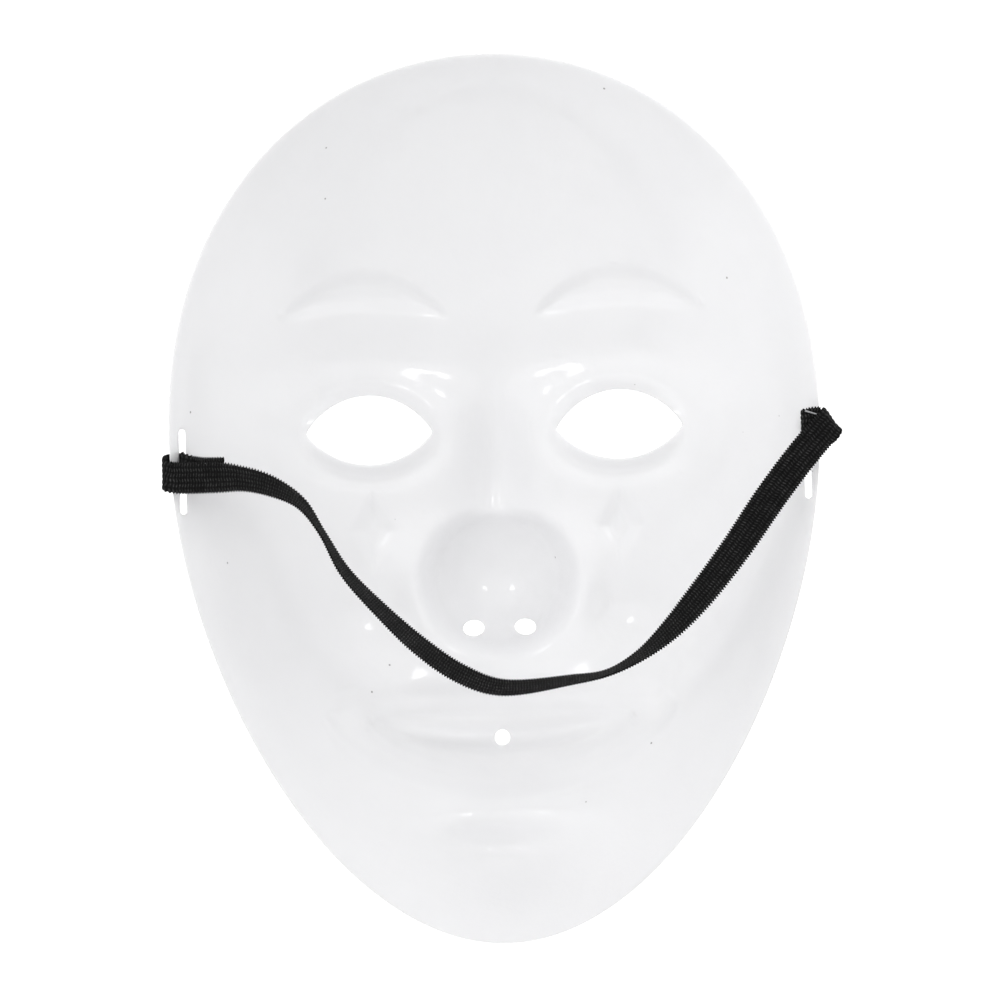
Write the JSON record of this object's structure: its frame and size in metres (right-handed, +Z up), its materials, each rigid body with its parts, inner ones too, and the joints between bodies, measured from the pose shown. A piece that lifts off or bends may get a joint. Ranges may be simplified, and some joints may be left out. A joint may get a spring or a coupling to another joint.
{
  "type": "clown mask",
  "caption": "Full-face moulded plastic clown mask with ball nose, open eyes, strap slots and a hanging flat elastic strap stapled at its ends.",
  "frame": {"origin": "inner side of the bridge of the nose, where the mask rests on the wearer", "axes": "+Z up the face, +Y out of the face towards whoever looks at it, +X to the right as seen from behind"},
  "size_m": [0.1742, 0.0833, 0.2298],
  "materials": {
    "shell_plastic": "glossy unpainted white",
    "elastic": "black knitted",
    "staple_wire": "bright wire"
  },
  "bodies": {
    "root": {"mask_shell": "shell_plastic", "elastic_strap": "elastic", "staple_left": "staple_wire", "staple_right": "staple_wire"}
  },
  "joints": []
}
